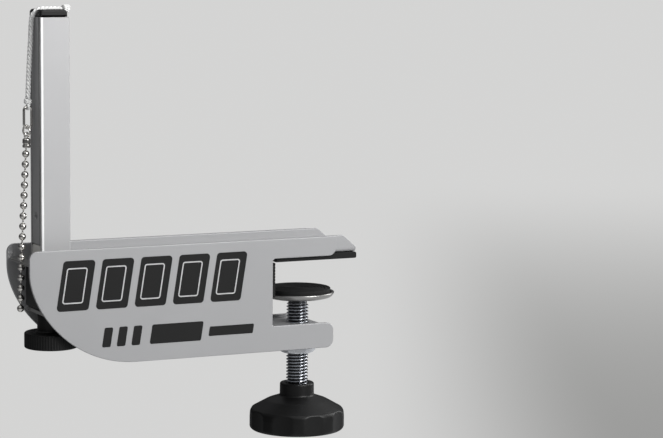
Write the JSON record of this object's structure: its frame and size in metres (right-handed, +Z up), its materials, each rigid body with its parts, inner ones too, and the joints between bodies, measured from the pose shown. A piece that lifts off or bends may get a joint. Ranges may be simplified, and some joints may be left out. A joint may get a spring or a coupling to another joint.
{
  "type": "table tennis net clamp",
  "caption": "Screw bracket that grips a table's edge and holds a height-adjustable net post, with a cord and bead chain that tension the net.",
  "frame": {"origin": "on the upper jaw's rubber face that rests on the table top, on the clamp screw's axis", "axes": "+Z up, +X in over the table along the net, +Y along the table's edge"},
  "size_m": [0.2191, 0.0605, 0.2723],
  "materials": {
    "grey_paint": "satin grey paint",
    "bare_steel": "plain rolled steel",
    "zinc_steel": "bright zinc plate",
    "aluminium": "satin anodised",
    "black_plastic": "satin moulded",
    "white_nylon": "natural nylon",
    "black_rubber": "matt",
    "nickel": "bright nickel",
    "white_cord": "twisted cord"
  },
  "bodies": {
    "bracket": {"front_side_plate": "grey_paint", "rear_side_plate": "grey_paint", "upper_jaw_channel": "grey_paint", "jaw_back_wall": "grey_paint", "lower_jaw_channel": "grey_paint", "clamp_nut": "zinc_steel", "upper_jaw_pad": "black_rubber", "back_jaw_pad": "black_rubber", "post_guide_sleeve": "black_plastic", "wheel_bearing_plate": "bare_steel", "chain_latch_tab": "bare_steel", "bead_chain": "nickel", "chain_connector": "nickel", "split_ring": "nickel", "oval_link": "nickel", "link_knot": "white_cord", "plate_spacer_1": "zinc_steel", "plate_screw_1": "zinc_steel", "plate_spacer_2": "zinc_steel", "plate_screw_2": "zinc_steel", "plate_spacer_3": "zinc_steel", "plate_screw_3": "zinc_steel", "plate_spacer_4": "zinc_steel", "plate_screw_4": "zinc_steel"},
    "clamp_carrier": {"swivel_washer": "zinc_steel"},
    "clamp_screw": {"clamp_screw": "zinc_steel", "screw_tip_clip": "bare_steel", "clamp_knob": "black_plastic", "knob_hex_insert": "zinc_steel"},
    "pressure_disc": {"pressure_disc": "bare_steel", "pressure_disc_pad": "black_rubber"},
    "post": {"net_post_tube": "aluminium", "post_nylon_insert": "white_nylon", "post_spindle_nut": "zinc_steel", "post_cap": "black_plastic", "tension_cord": "white_cord", "cord_end_knot": "white_cord"},
    "height_wheel": {"height_wheel": "black_plastic", "height_spindle": "zinc_steel", "spindle_clip": "bare_steel"}
  },
  "joints": [
    {"name": "clamp_travel", "type": "slide", "parent": "bracket", "child": "clamp_carrier", "axis": [0, 0, 1], "range_m": [-0.012, 0.0172]},
    {"name": "clamp_screw_spin", "type": "hinge", "parent": "clamp_carrier", "child": "clamp_screw", "pos_m": [0, 0, -0.0271], "axis": [0, 0, 1], "range_deg": [-2162.2, 3099.1]},
    {"name": "disc_tilt", "type": "hinge", "parent": "clamp_carrier", "child": "pressure_disc", "pos_m": [0, 0, -0.0254], "axis": [0, 1, 0], "range_deg": [-3, 3]},
    {"name": "height_wheel_spin", "type": "hinge", "parent": "bracket", "child": "height_wheel", "pos_m": [-0.1655, 0, -0.04], "axis": [0, 0, 1], "range_deg": [-1442, 1442]},
    {"name": "post_slide", "type": "slide", "parent": "bracket", "child": "post", "axis": [0, 0, 1], "range_m": [-0.005, 0.005], "deforming": ["tension_cord"]}
  ],
  "couplings": [
    {"joint": "clamp_screw_spin", "follows": "clamp_travel", "rad_per_m": 3141.6},
    {"joint": "height_wheel_spin", "follows": "post_slide", "rad_per_m": -5026.5}
  ]
}
